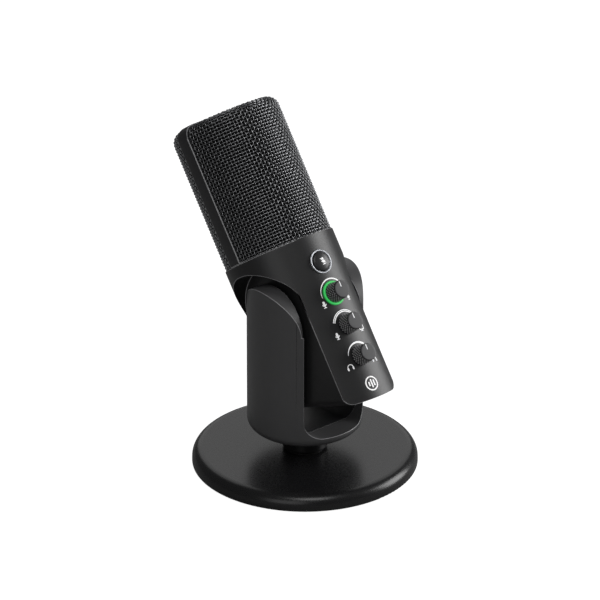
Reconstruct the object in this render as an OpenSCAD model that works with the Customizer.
// Desktop microphone: a side-address capsule behind a wire grille, three
// knobs and a mute button on the front, tilting in a U-shaped cradle that
// turns on a heavy round base.
// Millimetres. The origin is under the middle of the base, +Z is up and
// the controls face -Y.

/* [Base] */
// Diameter of the round base
base_d = 125; // [110:1:150]
// Height of the base from the table to its flat top
base_h = 9.3; // [8.5:0.1:14]
// Radius of the rounded top edge of the base
rim_r = 6; // [2:0.5:7]
// Diameter of the rubber pad under the base
pad_d = 116; // [90:1:118]
// How far the pad stands proud under the metal
pad_drop = 0.8; // [0.4:0.1:1.5]

/* [Cradle] */
// Outer radius of the cradle
cradle_r = 32; // [30:0.5:36]
// Half the width of the U-shaped slot
slot_x = 21.4; // [20.5:0.1:23]
// Height of the slot's floor above the table
slot_z = 29; // [26:0.5:34]
// Radius of the slot's two lower corners
slot_corner = 9.8; // [6:0.2:12]
// Height of the cradle's underside above the table
cradle_z = 23.2; // [20:0.2:26]
// Radius of the rounded lower edge of the cradle
cradle_edge = 5.5; // [3:0.5:8]
// Radius of the round top of each arm
arm_r = 22.8; // [20:0.2:23.4]
// Height of the tilt axis above the table
pivot_z = 91.3; // [88:0.1:100]
// Diameter of the neck collar
collar_d = 25.2; // [22:0.2:28]

/* [Microphone] */
// Angle that the microphone leans back from upright
tilt = 36; // [0:1:45]
// Outer radius of the plastic housing
shell_r = 31.8; // [30:0.1:33]
// Outer radius of the wire grille
mesh_r = 31.4; // [29.6:0.1:32]
// Half the distance between the two flat sides of the housing
flat_x = 18.2; // [16:0.1:19]
// Height of the housing's upper edge above the tilt axis
shell_top = 37.2; // [35:0.2:42]
// Height of the top of the microphone above the tilt axis
mic_top = 118.2; // [100:0.2:125]
// Depth of the housing's lower front edge below the tilt axis
tongue_z = 58.6; // [52:0.2:59]
// Angle at which the underside of the housing rises towards the back
under_slope = 13; // [8:1:18]
// Radius of the rounded lower corners of the front panel
panel_corner = 5; // [3:0.5:7]
// Radius of the rounded edge round the top of the grille
crown_r = 7; // [5:0.5:9]
// Half the width of the smooth band between the two grilles
band_y = 4.7; // [3.5:0.1:6]
// Wall thickness of the housing
wall = 2.2; // [1.8:0.1:2.6]

/* [Controls] */
// Height of the mute button above the tilt axis
mute_z = 21.4; // [19:0.2:24]
// Diameter of the mute button
mute_d = 10.6; // [9:0.2:11.5]
// Travel of the mute button
mute_travel = 1.2; // [0.6:0.1:1.5]
// Height of the gain knob above the tilt axis
gain_z = 2.9; // [1:0.1:5]
// Distance between the centres of neighbouring knobs
knob_pitch = 18.5; // [16:0.1:20]
// Diameter of each knob
knob_d = 9.8; // [8:0.1:11]
// How far each knob stands out of the panel
knob_out = 8.4; // [6:0.2:10]
// Outer diameter of the gain knob's light ring
light_d = 13.2; // [12:0.1:14]

/* [Hidden] */
$fn = 96;

gap = 0.05;              // face clearance between pieces that are screwed together
run = 0.05;              // radial running clearance of a turning or sliding piece
far = 80;                // a length past the whole section of the object

pad_t = 2.6;             // thickness of the foot pad
stud_d = 9.5;            // 3/8 inch microphone stand thread
stud_flange_d = 30;
stud_flange_t = 2.2;
stud_screw_r = 11;       // circle of the three screws in the stud's flange
washer_t = 0.5;
collar_z = base_h + washer_t;
insert_d = 14;

cradle_wall = 2.4;
liner_t = 1.8;
frame_t = 2;
liner_x = slot_x + liner_t;
liner_z = slot_z - liner_t;
frame_x = liner_x + gap;
frame_z = liner_z - gap;
frame_y = 12;            // half the width of the steel bracket
cradle_in = cradle_r - cradle_wall;
arm_in = arm_r - cradle_wall;
frame_screw_x = 9.2;

bolt_d = 6;
bolt_head_d = 10;
bolt_head_t = 1.8;
bolt_tip_x = 9;          // distance of the bolt's tip from the middle
spring_t = 0.6;
bush_d = 12;
friction_d = 24;

arch_r = sqrt(pow(shell_r, 2) - pow(flat_x, 2)) + 0.3;
arch_z = 4.1;            // centre of the arch over each flat side
shell_in = shell_r - wall;
flat_in = flat_x - wall;
cover_x = 14.8;          // half the width of the rear cover
cover_top = 22;
cover_bottom = -39;
cover_corner = 4;
cover_screw_x = 11;
cover_screw_zs = [16, -11];
post_d = 5.6;

panel_y = -shell_r;      // front of the control panel on its centre line
knob_zs = [gain_z, gain_z - knob_pitch, gain_z - 2 * knob_pitch];
knob_gap = 0.5;          // air between a knob and the panel
shaft_d = 6;
pot_w = 9.6;
pot_y = -27.4;           // front face of each potentiometer
board_y = -21.4;         // front face of the control board
board_t = 1.6;
board_x = 13;
board_low = -48;
board_high = 29;
board_screw_zs = [25, -44];
board_screw_x = 9.8;
mute_ring_d = 13.8;
button_shoulder = 0.9;   // how far the button's edge stands past the panel
button_dome = 1.0;

rebate_z = 3;            // depth of the step inside the housing's upper edge
rebate_r = 30.5;
ring_in = 27.4;
mesh_t = 0.9;
band_r = mesh_r + 0.3;
band_t = 2.1;
foam_r = band_r - band_t - 0.1;
foam_t = 3;
deck_z = 35;
deck_t = 2;
deck_r = 27.2;
capsule_z = 82;
capsule_d = 24;
capsule_t = 10;
mount_d = 30;
bracket_d = 36;
leg_x = 16.6;
frame_boss_r = 24.6;     // circle of the three screws that hold the grille frame

plate_y = 4;             // front face of the chassis plate
plate_t = 2;
audio_y = 18;            // front face of the audio board
audio_x = 14;
audio_low = -42.5;
audio_high = -16.5;
port_z = -30;
usb_x = -6.2;
jack_x = 6.8;
jack_bore = 3.6;

// ---- helpers ----

// Puts a piece drawn upright round the tilt axis into its leaning place
module mic_pose() {
    translate([0, 0, pivot_z])
        rotate([-tilt, 0, 0])
            children();
}

// A straight rod along +Y from y0 to y1
module rod_y(d, y0, y1) {
    translate([0, y0, 0])
        rotate([-90, 0, 0])
            cylinder(d = d, h = y1 - y0);
}

// A straight rod along +X from x0 to x1
module rod_x(d, x0, x1) {
    translate([x0, 0, 0])
        rotate([0, 90, 0])
            cylinder(d = d, h = x1 - x0);
}

// Draws its children and their mirror image in the YZ plane
module both_sides() {
    children();
    mirror([1, 0, 0]) children();
}

// A box given by its lowest and highest corners
module block(low, high) {
    translate(low) cube(high - low);
}

// A U-shaped passage along Y with round lower corners, open upwards
module u_passage(half_w, floor_z, corner, half_len) {
    block([-half_w, -half_len, floor_z + corner], [half_w, half_len, pivot_z + far]);
    block([-half_w + corner, -half_len, floor_z], [half_w - corner, half_len, floor_z + corner]);
    both_sides()
        translate([half_w - corner, 0, floor_z + corner])
            rod_y(2 * corner, -half_len, half_len);
}

// An outline with a round top of radius r at height z, extruded along X
module arch_x(r, z, bottom, x0, x1) {
    translate([x0, 0, 0])
        rotate([90, 0, 90])
            linear_extrude(x1 - x0) {
                translate([0, z]) circle(r = r, $fn = 128);
                translate([-r, bottom]) square([2 * r, z - bottom]);
            }
}

// A small cap screw along +Y: the head starts at y0, the shank ends at y1
module screw_y(head_d, head_t, shank_d, y0, y1) {
    difference() {
        rod_y(head_d, y0, y0 + head_t);
        translate([0, y0 - 0.1, 0])
            rotate([-90, 0, 0])
                cylinder(d = head_d * 0.5, h = head_t * 0.6, $fn = 6);
    }
    rod_y(shank_d, y0 + head_t, y1);
}

// ---- base ----

module base_profile() {
    r = base_d / 2;
    z0 = pad_drop;
    translate([0, z0]) square([r - rim_r, base_h - z0]);
    translate([0, z0 + 0.5]) square([r, base_h - rim_r - z0 - 0.5]);
    translate([0, z0]) square([r - 0.5, base_h - rim_r - z0]);
    translate([r - rim_r, base_h - rim_r])
        intersection() {
            circle(r = rim_r, $fn = 96);
            square(rim_r);
        }
    translate([r - 0.5, z0 + 0.5]) circle(r = 0.5, $fn = 48);
}

module base_disc() {
    color("#3c3c3e")
        difference() {
            rotate_extrude($fn = 180) base_profile();
            translate([0, 0, -1]) cylinder(d = pad_d + 0.4, h = 1 + pad_t);
            cylinder(d = stud_flange_d + 0.4, h = pad_t + stud_flange_t);
            cylinder(d = stud_d + 2 * gap, h = far);
            for (a = [0 : 120 : 240])
                rotate(a)
                    translate([stud_screw_r, 0, 0])
                        cylinder(d = 2.5, h = base_h - 1);
        }
}

module foot_pad() {
    color("#1b1b1c")
        difference() {
            cylinder(d = pad_d, h = pad_t - gap);
            // shallow grip groove near the pad's edge
            translate([0, 0, -1])
                difference() {
                    cylinder(d = pad_d - 8, h = 1.5);
                    cylinder(d = pad_d - 11, h = 1.5);
                }
        }
}

module neck_stud() {
    z0 = pad_t;
    color("#8c8d90")
        difference() {
            union() {
                translate([0, 0, z0]) cylinder(d = stud_flange_d, h = stud_flange_t - gap);
                translate([0, 0, z0]) cylinder(d = stud_d, h = cradle_z - 1.6 - z0);
            }
            for (a = [0 : 120 : 240])
                rotate(a)
                    translate([stud_screw_r, 0, z0 - 1])
                        cylinder(d = 3.2, h = stud_flange_t + 2);
        }
}

module stud_screws() {
    color("#77787b")
        for (a = [0 : 120 : 240])
            rotate(a)
                translate([stud_screw_r, 0, 0]) {
                    translate([0, 0, pad_t + 0.02]) cylinder(d = 3.1, h = stud_flange_t - 0.2);
                    translate([0, 0, pad_t + 1]) cylinder(d = 2.4, h = base_h - 1.3 - pad_t - 1);
                }
}

module neck_washer() {
    color("#161617")
        difference() {
            translate([0, 0, base_h]) cylinder(d = collar_d - 3, h = washer_t);
            cylinder(d = stud_d + 0.6, h = far);
        }
}

// ---- cradle ----

module neck_collar() {
    r = collar_d / 2;
    h = cradle_z - collar_z;
    edge = 1.6;
    color("#2c2c2e")
        difference() {
            translate([0, 0, collar_z])
                rotate_extrude() {
                    square([r - edge, h - gap]);
                    translate([0, edge]) square([r, h - edge - gap]);
                    translate([r - edge, edge]) circle(r = edge, $fn = 64);
                }
            translate([0, 0, collar_z - 1]) cylinder(d = insert_d + 2 * gap, h = h + 2);
            both_sides()
                translate([frame_screw_x, 0, cradle_z - 5]) cylinder(d = 2.5, h = 6);
        }
}

module thread_insert() {
    color("#b79a56")
        difference() {
            translate([0, 0, collar_z + 0.2])
                cylinder(d = insert_d, h = cradle_z - collar_z - 0.4);
            cylinder(d = stud_d + 2 * run, h = far);
        }
}

module cradle_shell() {
    color("#39393b")
        difference() {
            intersection() {
                rotate_extrude($fn = 180) {
                    translate([0, cradle_z])
                        square([cradle_r - cradle_edge, pivot_z]);
                    translate([0, cradle_z + cradle_edge])
                        square([cradle_r, pivot_z]);
                    translate([cradle_r - cradle_edge, cradle_z + cradle_edge])
                        circle(r = cradle_edge, $fn = 96);
                }
                arm_envelope(0);
            }
            u_passage(slot_x, slot_z, slot_corner, far);
            cradle_cavity();
            both_sides()
                translate([frame_screw_x, 0, cradle_z - 1]) cylinder(d = 3.2, h = 6);
            cylinder(d = stud_d + 1, h = cradle_z + 1);
        }
}

// Everything under the round tops of the two arms, inset from their outline
module arm_envelope(inset) {
    arch_x(arm_r - inset, pivot_z, slot_z + slot_corner, -cradle_r, cradle_r);
    block([-cradle_r, -cradle_r, 0], [cradle_r, cradle_r, pivot_z - inset]);
}

// The hollow inside the cradle's skin, open towards the slot
module cradle_cavity() {
    edge = cradle_edge - cradle_wall;
    z0 = cradle_z + cradle_wall;
    lip = 1.8;
    intersection() {
        rotate_extrude($fn = 180) {
            translate([0, z0]) square([cradle_in - edge, pivot_z]);
            translate([0, z0 + edge]) square([cradle_in, pivot_z]);
            translate([cradle_in - edge, z0 + edge]) circle(r = edge, $fn = 64);
        }
        arch_x(arm_in, pivot_z, z0 - 1, -cradle_r, cradle_r);
        block([-far, -arm_in + lip, 0], [far, arm_in - lip, far * 3]);
    }
}

module cradle_liner() {
    lip = 1.8;
    y = arm_in - lip - gap;
    color("#2b2b2d")
        difference() {
            intersection() {
                difference() {
                    u_passage(liner_x, liner_z, slot_corner + liner_t, y);
                    u_passage(slot_x, slot_z, slot_corner, far);
                }
                arch_x(arm_in - gap, pivot_z, 0, -cradle_r, cradle_r);
                cylinder(r = cradle_in - gap, h = 3 * far, $fn = 180);
            }
            translate([0, 0, pivot_z]) rod_x(bolt_d + 2 * gap, -far, far);
            both_sides()
                translate([frame_screw_x, 0, liner_z - 1]) cylinder(d = 6, h = 1.9);
        }
}

module cradle_frame() {
    corner = slot_corner + liner_t + gap;
    color("#85868a")
        difference() {
            intersection() {
                difference() {
                    u_passage(frame_x + frame_t, frame_z - frame_t + 0.5, corner + frame_t, frame_y);
                    u_passage(frame_x, frame_z, corner, far);
                }
                arch_x(frame_y, pivot_z, 0, -cradle_r, cradle_r);
            }
            translate([0, 0, pivot_z]) rod_x(bolt_d + 2 * gap, -far, far);
            both_sides()
                translate([frame_screw_x, 0, 0]) cylinder(d = 3.2, h = far);
        }
}

module frame_screws() {
    color("#77787b")
        both_sides()
            translate([frame_screw_x, 0, 0]) {
                translate([0, 0, liner_z + 0.02]) cylinder(d = 5.4, h = 0.8);
                translate([0, 0, cradle_z - 4.5]) cylinder(d = 2.4, h = liner_z - cradle_z + 4.6);
            }
}

module pivot_bolts() {
    head_x = frame_x + frame_t + spring_t + gap;
    color("#9a9b9f")
        translate([0, 0, pivot_z])
            both_sides()
                difference() {
                    union() {
                        rod_x(bolt_head_d, head_x, head_x + bolt_head_t);
                        rod_x(bolt_d, bolt_tip_x, head_x + 0.5);
                    }
                    translate([head_x + bolt_head_t - 1.2, 0, 0])
                        rotate([0, 90, 0])
                            cylinder(d = 4.6, h = 2, $fn = 6);
                }
}

module spring_washers() {
    x0 = frame_x + frame_t + gap / 2;
    color("#b4b5b8")
        translate([0, 0, pivot_z])
            both_sides()
                difference() {
                    rod_x(bolt_head_d + 1, x0, x0 + spring_t);
                    rod_x(bolt_d + 2 * gap, x0 - 1, x0 + 2);
                }
}

module friction_washers() {
    color("#202021")
        translate([0, 0, pivot_z])
            both_sides()
                difference() {
                    rod_x(friction_d, flat_x + 0.12, slot_x - gap);
                    rod_x(bolt_d + 2 * gap, flat_x - 1, slot_x + 1);
                }
}

// ---- microphone housing ----

// Cuts both sides of the housing flat under a round arch
module side_recesses(x, r) {
    both_sides()
        arch_x(r, arch_z, -far, x, far);
}

// Everything above the sloping underside, with round lower panel corners
module above_underside(inset) {
    corner = panel_corner - inset;
    x = flat_x - inset + gap - corner;
    translate([0, panel_y, -tongue_z])
        rotate([under_slope, 0, 0])
            translate([0, 0, inset]) {
                block([-far, -20, corner], [far, 120, 3 * far]);
                block([-x, -20, 0], [x, 120, corner + 1]);
                both_sides()
                    translate([x, 0, corner]) rod_y(2 * corner, -20, 120);
            }
}

// The housing's solid form, smaller by inset on every outer face
module housing_form(inset, top) {
    intersection() {
        difference() {
            translate([0, 0, -far]) cylinder(r = shell_r - inset, h = far + top, $fn = 180);
            side_recesses(flat_x - inset, arch_r + inset);
        }
        above_underside(inset);
    }
}

// The opening for the rear cover, along +Y, grown by clearance
module cover_opening(clear) {
    c = cover_corner;
    x = cover_x + clear;
    top = cover_top + clear;
    bottom = cover_bottom - clear;
    block([-x + c, 0, bottom], [x - c, far, top]);
    block([-x, 0, bottom + c], [x, far, top - c]);
    both_sides()
        for (z = [bottom + c, top - c])
            translate([x - c, 0, z]) rod_y(2 * c, 0, far);
}

module housing() {
    color("#37373a")
        mic_pose()
            difference() {
                housing_form(0, shell_top);
                housing_form(wall, shell_top + 1);
                translate([0, 0, shell_top - rebate_z]) cylinder(r = rebate_r, h = rebate_z + 1);
                cover_opening(0.08);
                // pivot holes, button hole, knob holes and the light ring's seat
                rod_x(bush_d + 2 * gap, -far, far);
                translate([0, 0, mute_z]) rod_y(mute_ring_d + 0.2, -far, 0);
                translate([0, 0, gain_z]) rod_y(light_d + 0.1, -far, 0);
                for (z = knob_zs)
                    translate([0, 0, z]) rod_y(shaft_d + 1, -far, 0);
            }
}

module rear_cover() {
    color("#37373a")
        mic_pose()
            difference() {
                intersection() {
                    difference() {
                        translate([0, 0, -far]) cylinder(r = shell_r, h = 2 * far, $fn = 180);
                        translate([0, 0, -far]) cylinder(r = shell_in, h = 2 * far, $fn = 180);
                    }
                    cover_opening(0);
                }
                for (s = [-1, 1], z = cover_screw_zs)
                    translate([s * cover_screw_x, 0, z]) {
                        rod_y(2.6, 0, far);
                        rod_y(4.8, cover_seat_y(), far);
                    }
                translate([jack_x, 0, port_z]) rod_y(7, 0, far);
                translate([usb_x, 0, port_z]) usb_outline(5, 1.9, 0, far);
            }
}

// Height of the seat under the head of a cover screw
function cover_seat_y() = sqrt(pow(shell_r, 2) - pow(cover_screw_x + 2.4, 2)) - 1.1;

module cover_screws() {
    y = cover_seat_y();
    color("#2a2a2c")
        mic_pose()
            for (s = [-1, 1], z = cover_screw_zs)
                translate([s * cover_screw_x, 0, z])
                    mirror([0, 1, 0])
                        screw_y(4.4, 1.2, 2.2, -y - 1.2, -y + 6);
}

// A flat slot with round ends along Y, as a USB-C socket has
module usb_outline(half_w, r, y0, y1) {
    block([-half_w + r, y0, -r], [half_w - r, y1, r]);
    both_sides()
        translate([half_w - r, 0, 0]) rod_y(2 * r, y0, y1);
}

// ---- microphone inside ----

module chassis() {
    color("#4a4c50")
        mic_pose()
            difference() {
                union() {
                    block([-15.6, plate_y, -42], [15.6, plate_y + plate_t, deck_z - 1]);
                    both_sides()
                        block([13.2, -9, -9], [flat_in - 0.1, plate_y + 0.1, 9]);
                    translate([0, 0, deck_z - deck_t]) cylinder(r = deck_r, h = deck_t);
                    // posts for the rear cover
                    for (s = [-1, 1], z = cover_screw_zs)
                        translate([s * cover_screw_x, 0, z])
                            rod_y(post_d, plate_y, shell_cover_post());
                    // posts for the control board
                    for (s = [-1, 1], z = board_screw_zs)
                        if (z > -40)
                            translate([s * board_screw_x, 0, z])
                                rod_y(post_d, board_y + board_t, plate_y + 0.1);
                    // posts for the audio board
                    for (s = [-1, 1])
                        translate([s * 11, 0, -21]) rod_y(4.4, plate_y, audio_y);
                    translate([0, 0, -39]) rod_y(4.4, plate_y, audio_y);
                }
                rod_x(bush_d + 2 * gap, -far, far);
                for (s = [-1, 1], z = cover_screw_zs)
                    translate([s * cover_screw_x, 0, z])
                        rod_y(2.3, cover_seat_y() - 8, far);
                for (s = [-1, 1])
                    translate([s * board_screw_x, 0, board_screw_zs[0]])
                        rod_y(2.3, board_y - 1, board_y + 8);
                // wire passage through the deck, clear of the front panel parts
                translate([0, -12, deck_z - deck_t - 1]) cylinder(d = 12, h = deck_t + 2);
                for (a = [30, 150, 270])
                    rotate(a)
                        translate([frame_boss_r, 0, deck_z - deck_t - 1])
                            cylinder(d = 2.6, h = deck_t + 2);
                both_sides()
                    translate([leg_x, 0, deck_z - 1.8]) cylinder(d = 2.3, h = 3);
            }
}

// Where the posts of the chassis meet the inside of the rear cover
function shell_cover_post() =
    sqrt(pow(shell_in, 2) - pow(cover_screw_x + post_d / 2, 2)) - gap;

module pivot_bushes() {
    color("#b79a56")
        mic_pose()
            both_sides()
                difference() {
                    rod_x(bush_d, bolt_tip_x + 1, flat_x);
                    rod_x(bolt_d + 2 * run, bolt_tip_x - 1, flat_x + 1);
                }
}

// Solid of revolution of the grille's outside: a tube with a round shoulder
module crown(r, top, shoulder, z0) {
    rotate_extrude($fn = 180) {
        translate([0, z0]) square([r, top - shoulder - z0]);
        translate([0, z0]) square([r - shoulder, top - z0]);
        translate([r - shoulder, top - shoulder]) circle(r = shoulder, $fn = 96);
    }
}

module grille_frame() {
    z0 = shell_top + gap;
    color("#303032")
        mic_pose() {
            intersection() {
                difference() {
                    crown(band_r, mic_top, crown_r + 0.3, z0);
                    crown(band_r - band_t, mic_top - band_t, crown_r + 0.3 - band_t, 0);
                }
                block([-far, -band_y, 0], [far, band_y, mic_top + 1]);
            }
            difference() {
                translate([0, 0, shell_top - rebate_z + gap])
                    cylinder(r = rebate_r - gap, h = rebate_z + 0.8);
                cylinder(r = ring_in, h = far);
                for (a = [30, 150, 270])
                    rotate(a)
                        translate([frame_boss_r, 0, 0]) cylinder(d = 2.3, h = far);
            }
            for (a = [30, 150, 270])
                rotate(a)
                    difference() {
                        translate([frame_boss_r, 0, deck_z + gap])
                            cylinder(d = 7, h = shell_top - deck_z);
                        translate([frame_boss_r, 0, 0]) cylinder(d = 2.1, h = far);
                    }
        }
}

module grille_screws() {
    color("#77787b")
        mic_pose()
            for (a = [30, 150, 270])
                rotate(a)
                    translate([frame_boss_r, 0, 0]) {
                        translate([0, 0, deck_z - deck_t - 1.3]) cylinder(d = 4.2, h = 1.25);
                        translate([0, 0, deck_z - deck_t - 0.1]) cylinder(d = 2, h = deck_t + 4);
                    }
}

// Half of the curved wire grille, on the -Y side
module grille_half() {
    z0 = shell_top + 0.1;
    intersection() {
        difference() {
            crown(mesh_r, mic_top - 0.3, crown_r, z0);
            crown(mesh_r - mesh_t, mic_top - 0.3 - mesh_t, crown_r - mesh_t, 0);
        }
        block([-far, -far, 0], [far, -band_y - 0.1, mic_top]);
    }
}

module front_grille() {
    color("#1d1d1e") mic_pose() grille_half();
}

module rear_grille() {
    color("#1d1d1e") mic_pose() mirror([0, 1, 0]) grille_half();
}

module foam_liner() {
    top = mic_top - band_t - 0.2;
    edge = crown_r - band_t;
    color("#141414")
        mic_pose()
            difference() {
                crown(foam_r, top, edge, shell_top + 1);
                crown(foam_r - foam_t, top - foam_t, max(edge - foam_t, 1), 0);
            }
}

module capsule() {
    color("#a8a9ac")
        mic_pose()
            translate([0, 0, capsule_z])
                difference() {
                    rod_y(capsule_d, -capsule_t / 2, capsule_t / 2);
                    // the front plate's ring of sound holes
                    for (a = [0 : 30 : 330])
                        rotate([0, a, 0])
                            translate([7.5, 0, 0]) rod_y(1.8, -capsule_t, -capsule_t / 2 + 1.5);
                    for (a = [0 : 60 : 300])
                        rotate([0, a, 0])
                            translate([3.6, 0, 0]) rod_y(1.8, -capsule_t, -capsule_t / 2 + 1.5);
                }
}

module capsule_mount() {
    color("#1b1b1c")
        mic_pose()
            translate([0, 0, capsule_z])
                difference() {
                    rod_y(mount_d, -4, 4);
                    rod_y(capsule_d + 2 * gap, -5, 5);
                }
}

module capsule_bracket() {
    color("#3f4043")
        mic_pose()
            difference() {
                union() {
                    translate([0, 0, capsule_z]) rod_y(bracket_d, -3, 3);
                    both_sides()
                        block([leg_x - 1.6, -3, deck_z + gap], [leg_x + 1.4, 3, capsule_z]);
                    both_sides()
                        block([leg_x - 3.4, -3, deck_z + gap], [leg_x + 3.4, 3, deck_z + 2.2]);
                }
                translate([0, 0, capsule_z]) rod_y(mount_d + 2 * gap, -9, 9);
            }
}

module control_board() {
    color("#1f5a3a")
        mic_pose()
            difference() {
                block([-board_x, board_y, board_low], [board_x, board_y + board_t, board_high]);
                for (s = [-1, 1], z = board_screw_zs)
                    translate([s * board_screw_x, 0, z]) rod_y(2.6, -far, far);
            }
}

module board_screws() {
    color("#77787b")
        mic_pose() {
            for (s = [-1, 1])
                translate([s * board_screw_x, 0, board_screw_zs[0]])
                    screw_y(3.8, 1.2, 2.2, board_y - 1.25, board_y + 6);
            for (x = [-11, 11])
                translate([x, 0, -21])
                    mirror([0, 1, 0])
                        screw_y(3.8, 1.2, 1.8, -audio_y - board_t - 1.25, -audio_y - board_t + 0.6);
        }
}

module audio_board() {
    color("#1f5a3a")
        mic_pose()
            difference() {
                block([-audio_x, audio_y + gap, audio_low], [audio_x, audio_y + board_t, audio_high]);
                for (x = [-11, 11])
                    translate([x, 0, -21]) rod_y(1.9, 0, far);
            }
}

module usb_socket() {
    y0 = audio_y + board_t + gap;
    y1 = sqrt(pow(shell_r, 2) - pow(usb_x - 4.5, 2)) - 1;
    color("#b9babd")
        mic_pose()
            translate([usb_x, 0, port_z]) {
                difference() {
                    usb_outline(4.5, 1.6, y0, y1);
                    usb_outline(4.17, 1.27, y1 - 7, y1 + 1);
                }
                block([-3.3, y1 - 8, -0.35], [3.3, y1 - 1, 0.35]);
            }
}

module headphone_jack() {
    y0 = audio_y + board_t + gap;
    y1 = sqrt(pow(shell_r, 2) - pow(jack_x + 3.4, 2)) - 0.8;
    color("#232325")
        mic_pose()
            translate([jack_x, 0, port_z])
                difference() {
                    union() {
                        block([-3.6, y0, -3.4], [3.6, 26.6, 3.4]);
                        rod_y(6.6, y0, y1);
                    }
                    rod_y(jack_bore, y0 + 0.5, far);
                }
}

// ---- controls ----

module mute_ring() {
    color("#9c9da0")
        mic_pose()
            intersection() {
                translate([0, 0, mute_z])
                    difference() {
                        rod_y(mute_ring_d, -far, -shell_in + 0.6);
                        rod_y(mute_d + 0.4, -far, 0);
                    }
                translate([0, 0, mute_z - 10]) cylinder(r = shell_r + 0.35, h = 20, $fn = 180);
            }
}

module mute_switch() {
    color("#2b2c2e")
        mic_pose()
            translate([0, 0, mute_z])
                difference() {
                    block([-3.1, board_y - 4, -3.1], [3.1, board_y - gap, 3.1]);
                    rod_y(3.4 + 2 * run, board_y - 5, board_y - 0.5);
                }
}

module switch_plunger() {
    color("#c9c9c6")
        mic_pose()
            translate([0, 0, mute_z])
                rod_y(3.4, button_back() + 0.02, board_y - 0.6 - mute_travel);
}

// Where the back of the mute button's foot lies
function button_back() = -shell_in + 2.6;

module mute_button() {
    edge_y = panel_y - button_shoulder;
    r = mute_d / 2;
    dome_r = (r * r + button_dome * button_dome) / (2 * button_dome);
    color("#313133")
        mic_pose()
            translate([0, 0, mute_z]) {
                rod_y(mute_d, edge_y, button_back());
                intersection() {
                    translate([0, edge_y - button_dome + dome_r, 0]) sphere(r = dome_r, $fn = 180);
                    rod_y(mute_d, edge_y - 2, edge_y + 0.1);
                }
            }
}

module gain_light_ring() {
    color("#3fd46a")
        mic_pose()
            intersection() {
                translate([0, 0, gain_z])
                    difference() {
                        rod_y(light_d, -far, -shell_in - 0.2);
                        rod_y(knob_d + 0.8, -far, -shell_in - 1);
                        rod_y(shaft_d + 1, -far, 0);
                    }
                translate([0, 0, gain_z - 10]) cylinder(r = shell_r + 0.12, h = 20, $fn = 180);
            }
}

// One potentiometer on the control board, at height z
module pot(z) {
    color("#5c6f86")
        mic_pose()
            translate([0, 0, z])
                difference() {
                    block([-pot_w / 2, pot_y, -pot_w / 2], [pot_w / 2, board_y - gap, pot_w / 2]);
                    rod_y(shaft_d + 2 * run, pot_y - 1, pot_y + 4);
                }
}

module gain_pot() {
    pot(knob_zs[0]);
}

module mix_pot() {
    pot(knob_zs[1]);
}

module headphone_pot() {
    pot(knob_zs[2]);
}

// The metal shaft of a potentiometer, from its body into the knob
module pot_shaft(z) {
    color("#b4b5b8")
        mic_pose()
            translate([0, 0, z]) rod_y(shaft_d, panel_y - 5.4, pot_y + 3.8);
}

module gain_shaft() {
    pot_shaft(knob_zs[0]);
}

module mix_shaft() {
    pot_shaft(knob_zs[1]);
}

module headphone_shaft() {
    pot_shaft(knob_zs[2]);
}

// A round knob with finger grooves and a pointer line on its flat end
module knob(z) {
    r = knob_d / 2;
    y0 = panel_y - knob_out;
    y1 = panel_y - knob_gap;
    color("#252527")
        mic_pose()
            translate([0, 0, z])
                difference() {
                    rotate([90, 0, 0])
                        rotate_extrude() {
                            translate([0, -y1]) square([r, y1 - y0 - 0.5]);
                            translate([0, -y1]) square([r - 0.5, y1 - y0]);
                            translate([r - 0.5, -y0 - 0.5]) circle(r = 0.5, $fn = 48);
                        }
                    rod_y(shaft_d + 2 * gap, panel_y - 5.5, 0);
                    block([-0.35, y0 - 1, 1.6], [0.35, y0 + 0.3, r + 1]);
                }
}

module gain_knob() {
    knob(knob_zs[0]);
}

module mix_knob() {
    knob(knob_zs[1]);
}

module headphone_knob() {
    knob(knob_zs[2]);
}

base_disc();
foot_pad();
neck_stud();
stud_screws();
neck_washer();
cradle_shell();
cradle_liner();
cradle_frame();
neck_collar();
thread_insert();
frame_screws();
pivot_bolts();
spring_washers();
friction_washers();
housing();
rear_cover();
cover_screws();
chassis();
pivot_bushes();
grille_frame();
grille_screws();
front_grille();
rear_grille();
foam_liner();
capsule();
capsule_mount();
capsule_bracket();
control_board();
board_screws();
audio_board();
usb_socket();
headphone_jack();
mute_ring();
mute_switch();
gain_light_ring();
gain_pot();
mix_pot();
headphone_pot();
mute_button();
switch_plunger();
gain_shaft();
gain_knob();
mix_shaft();
mix_knob();
headphone_shaft();
headphone_knob();
